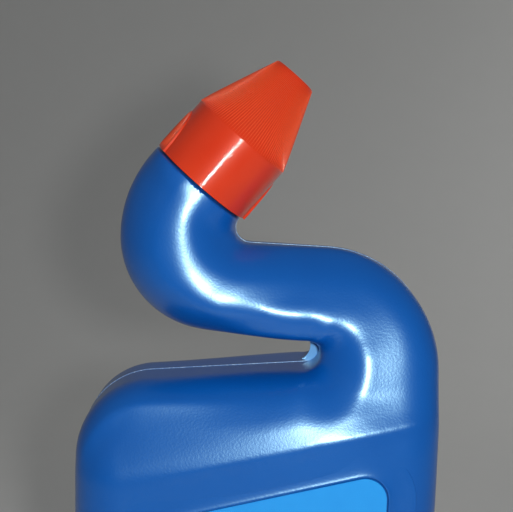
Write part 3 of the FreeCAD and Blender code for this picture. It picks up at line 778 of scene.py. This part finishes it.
# ---------------------------------------------------------------- ribs of the cap
def rib_fan_group():
    """Geometry nodes: straight ribs side by side round an axis, each from its foot to its head."""
    tree = bpy.data.node_groups.new("rib fan", "GeometryNodeTree")
    for word, kind, default in (
        ("Count", "NodeSocketInt", 10),
        ("First Angle", "NodeSocketFloat", 0.0),
        ("Step Angle", "NodeSocketFloat", 0.1),
        ("Foot Radius", "NodeSocketFloat", 0.01),
        ("Foot Height", "NodeSocketFloat", 0.0),
        ("Reach Out", "NodeSocketFloat", 0.0),
        ("Reach Up", "NodeSocketFloat", 0.01),
        ("Rib Radius", "NodeSocketFloat", 0.0002),
        ("Head Share", "NodeSocketFloat", 1.0),
        ("Arch Width", "NodeSocketFloat", 1.0),
        ("Material", "NodeSocketMaterial", None),
    ):
        socket = tree.interface.new_socket(word, in_out="INPUT", socket_type=kind)
        if default is not None:
            socket.default_value = default
    tree.interface.new_socket("Geometry", in_out="OUTPUT", socket_type="NodeSocketGeometry")
    entry = tree.nodes.new("NodeGroupInput").outputs
    last = tree.nodes.new("NodeGroupOutput")
    # one rib, from the origin to its head, a tapering round bar
    head = add_node(tree, "ShaderNodeCombineXYZ", {"X": entry["Reach Out"], "Z": entry["Reach Up"]})
    line = add_node(tree, "GeometryNodeCurvePrimitiveLine", {"End": head.outputs[0]})
    even = add_node(tree, "GeometryNodeResampleCurve", {"Curve": line.outputs[0], "Count": 9})
    along = add_node(tree, "GeometryNodeSplineParameter")
    taper = add_node(
        tree, "ShaderNodeMapRange",
        {"Value": along.outputs["Factor"], "To Min": 1.0, "To Max": entry["Head Share"]},
    )
    ends = maths(tree, "POWER", maths(
        tree, "SINE", maths(tree, "MULTIPLY", along.outputs["Factor"], math.pi)), 0.25)
    ends = maths(tree, "MAXIMUM", ends, 0.15)
    girth = maths(tree, "MULTIPLY", taper.outputs[0], ends)
    bar = add_node(tree, "GeometryNodeSetCurveRadius", {"Curve": even.outputs[0], "Radius": girth})
    section = add_node(
        tree, "GeometryNodeCurvePrimitiveCircle", {"Resolution": 8, "Radius": entry["Rib Radius"]},
    )
    solid = add_node(tree, "GeometryNodeCurveToMesh", {
        "Curve": bar.outputs[0], "Profile Curve": section.outputs[0], "Scale": girth, "Fill Caps": True})
    # one place for each rib round the axis
    places = add_node(tree, "GeometryNodeMeshLine", {"Count": entry["Count"], "Offset": (0, 0, 0)})
    number = add_node(tree, "GeometryNodeInputIndex").outputs[0]
    angle = maths(tree, "ADD", maths(tree, "MULTIPLY", number, entry["Step Angle"]), entry["First Angle"])
    across = maths(tree, "DIVIDE", maths(
        tree, "MULTIPLY", maths(tree, "SINE", angle), entry["Foot Radius"]), entry["Arch Width"])
    inside = maths(tree, "MAXIMUM", maths(
        tree, "SUBTRACT", 1.0, maths(tree, "MULTIPLY", across, across)), 0.01)
    share = maths(tree, "SQRT", inside)
    foot = add_node(tree, "ShaderNodeCombineXYZ", {
        "X": maths(tree, "MULTIPLY", maths(tree, "COSINE", angle), entry["Foot Radius"]),
        "Y": maths(tree, "MULTIPLY", maths(tree, "SINE", angle), entry["Foot Radius"]),
        "Z": entry["Foot Height"],
    })
    turn = add_node(tree, "ShaderNodeCombineXYZ", {"Z": angle})
    shrink = add_node(tree, "ShaderNodeCombineXYZ", {"X": share, "Y": 1.0, "Z": share})
    set_out = add_node(
        tree, "GeometryNodeSetPosition", {"Geometry": places.outputs[0], "Position": foot.outputs[0]},
    )
    copies = add_node(tree, "GeometryNodeInstanceOnPoints", {
        "Points": set_out.outputs[0], "Instance": solid.outputs[0],
        "Rotation": turn.outputs[0], "Scale": shrink.outputs[0]})
    real = add_node(tree, "GeometryNodeRealizeInstances", {"Geometry": copies.outputs[0]})
    painted = add_node(tree, "GeometryNodeSetMaterial", {
        "Geometry": real.outputs[0], "Material": entry["Material"]})
    tree.links.new(painted.outputs[0], last.inputs["Geometry"])
    return tree


RIB_FAN = rib_fan_group()


def rib_fan(name, material, turn, **inputs):
    """Runs the rib group with these inputs, turns the ribs about the cap axis and sets them on the cap."""
    maker = bpy.data.objects.new(name + "_maker", bpy.data.meshes.new(name + "_maker"))
    bpy.context.scene.collection.objects.link(maker)
    modifier = maker.modifiers.new("ribs", "NODES")
    modifier.node_group = RIB_FAN
    for item in RIB_FAN.interface.items_tree:
        if item.in_out == "INPUT":
            word = item.name.replace(" ", "_").lower()
            chosen = material if word == "material" else inputs.get(word, item.default_value)
            modifier[item.identifier] = chosen
    bpy.context.view_layer.update()
    graph = bpy.context.evaluated_depsgraph_get()
    mesh = bpy.data.meshes.new_from_object(maker.evaluated_get(graph), depsgraph=graph)
    mesh.name = name
    bpy.data.objects.remove(maker)
    mesh.transform(NECK @ Matrix.Translation((0, 0, CAP_GAP)) @ Matrix.Rotation(turn, 4, "Z"))
    for polygon in mesh.polygons:
        polygon.use_smooth = True
    piece = bpy.data.objects.new(name, mesh)
    bpy.context.scene.collection.objects.link(piece)
    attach(piece, "cap_body")
    return piece


CONE_RIBS = 120
rib_fan(
    "cone_ribs", RIB_RED_PAINTED_LIGHTER, 0.0, count=CONE_RIBS, first_angle=0.0, step_angle=math.tau / CONE_RIBS,
    foot_radius=17.0 * MM, foot_height=19.05 * MM, reach_out=-9.85 * MM, reach_up=24.7 * MM,
    rib_radius=0.3 * MM, head_share=0.4, arch_width=1.0,
)
PAD_RIBS = 17
PAD_TURN = math.radians(12)
PAD_STEP = 0.7 / 17.75
for side, start in (("right", 0.0), ("left", math.pi)):
    rib_fan(
        "pad_ribs_" + side, RIB_RED_PAINTED_LIGHTER, PAD_TURN, count=PAD_RIBS,
        first_angle=start - PAD_STEP * (PAD_RIBS - 1) / 2, step_angle=PAD_STEP, foot_radius=17.76 * MM,
        foot_height=0.35 * MM, reach_out=-0.42 * MM, reach_up=13.9 * MM, rib_radius=0.22 * MM,
        head_share=1.0, arch_width=5.9 * MM,
    )


# ---------------------------------------------------------------- screw thread
def thread(name, material, body, root, crest, start_height, turns, first_angle):
    """Helical ridge about the neck axis, from its root radius to its crest, tapering at both ends."""
    steps = int(turns * 72)
    corners = []
    faces = []
    for step in range(steps + 1):
        share = step / steps
        fade = min(1.0, 8 * share, 8 * (1 - share))
        angle = first_angle + share * turns * math.tau
        height = start_height + share * turns * THREAD_PITCH
        top = root + (crest - root) * fade
        for radius, rise in ((root, -0.9), (top, -0.35), (top, 0.35), (root, 0.9)):
            corners.append((radius * math.cos(angle), radius * math.sin(angle), height + rise * MM))
        if step:
            here = 4 * step
            for corner in range(4):
                after = (corner + 1) % 4
                faces.append((here - 4 + corner, here - 4 + after, here + after, here + corner))
    faces.append((3, 2, 1, 0))
    faces.append(tuple(range(4 * steps, 4 * steps + 4)))
    if crest > root:
        faces = [tuple(reversed(face)) for face in faces]
    mesh = bpy.data.meshes.new(name)
    mesh.from_pydata(corners, [], faces)
    mesh.transform(NECK)
    mesh.materials.append(material)
    piece = bpy.data.objects.new(name, mesh)
    bpy.context.scene.collection.objects.link(piece)
    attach(piece, body)
    return piece


thread(
    "finish_thread", BOTTLE_BLUE, "bottle_body",
    root=12.5 * MM, crest=13.55 * MM, start_height=5.2 * MM, turns=1.75, first_angle=0.3,
)
thread(
    "cap_thread", CAP_RED, "cap_body",
    root=14.05 * MM, crest=13.0 * MM, start_height=3.1 * MM, turns=1.75, first_angle=0.3,
)


# ---------------------------------------------------------------- stage
def stage_material(name, tint):
    material, tree, shader = start_material(name)
    where = add_node(tree, "ShaderNodeTexCoord").outputs["Object"]
    grain = add_node(tree, "ShaderNodeTexNoise", {"Vector": where, "Scale": 40.0, "Detail": 3.0})
    tree.links.new(
        mix_colour(tree, grain.outputs["Fac"], tint, tuple(0.97 * part for part in tint[:3]) + (1.0,)),
        shader.inputs["Base Color"],
    )
    shader.inputs["Roughness"].default_value = 0.9
    return material


def sweep_backdrop():
    """Pale floor that curves up into a wall behind."""
    outline = [(-1.6, 0.0), (0.45, 0.0)]
    for step in range(1, 13):
        angle = math.pi / 2 * step / 12
        outline.append((0.45 + 0.4 * math.sin(angle), 0.4 - 0.4 * math.cos(angle)))
    outline.append((0.85, 2.2))
    corners = [(x, y, z) for y, z in outline for x in (-2.0, 2.0)]
    faces = [(2 * n, 2 * n + 1, 2 * n + 3, 2 * n + 2) for n in range(len(outline) - 1)]
    mesh = bpy.data.meshes.new("backdrop")
    mesh.from_pydata(corners, [], faces)
    for polygon in mesh.polygons:
        polygon.use_smooth = True
    mesh.materials.append(stage_material("pale paper", (0.72, 0.72, 0.7, 1.0)))
    piece = bpy.data.objects.new("backdrop", mesh)
    bpy.context.scene.collection.objects.link(piece)


sweep_backdrop()


# ---------------------------------------------------------------- light and camera
def area_light(name, place, target, width, power, glossy):
    lamp = bpy.data.lights.new(name, "AREA")
    lamp.shape = "DISK"
    lamp.size = width
    lamp.energy = power
    holder = bpy.data.objects.new(name, lamp)
    holder.location = place
    holder.rotation_mode = "QUATERNION"
    holder.rotation_quaternion = (Vector(target) - Vector(place)).to_track_quat("-Z", "Y")
    holder.visible_camera = False
    holder.visible_glossy = glossy
    bpy.context.scene.collection.objects.link(holder)


world = bpy.data.worlds.new("studio")
world.use_nodes = True
world.node_tree.nodes["Background"].inputs[0].default_value = (0.95, 0.97, 1.0, 1.0)
world.node_tree.nodes["Background"].inputs[1].default_value = 0.12
bpy.context.scene.world = world
area_light("key", (0.031, -0.315, 0.241), (0.0, 0.0, 0.18), 0.025, 0.78, True)
area_light("fill_left", (-0.7, -0.5, 0.7), (0.0, 0.0, 0.12), 0.6, 0.6, False)
area_light("fill_back", (0.6, 0.7, 0.6), (0.0, 0.0, 0.12), 0.6, 2.0, False)

camera = bpy.data.cameras.new("camera")
camera.sensor_width = 36.0
camera.lens = 70.17544
viewer = bpy.data.objects.new("camera", camera)
viewer.matrix_world = (
    Matrix.Translation((-0.0012, -0.315, 0.237))
    @ Matrix.Rotation(math.radians(82), 4, "X")
    @ Matrix.Rotation(math.radians(1.5), 4, "Z")
)
bpy.context.scene.collection.objects.link(viewer)
bpy.context.scene.camera = viewer
bpy.context.scene.view_settings.view_transform = "Standard"
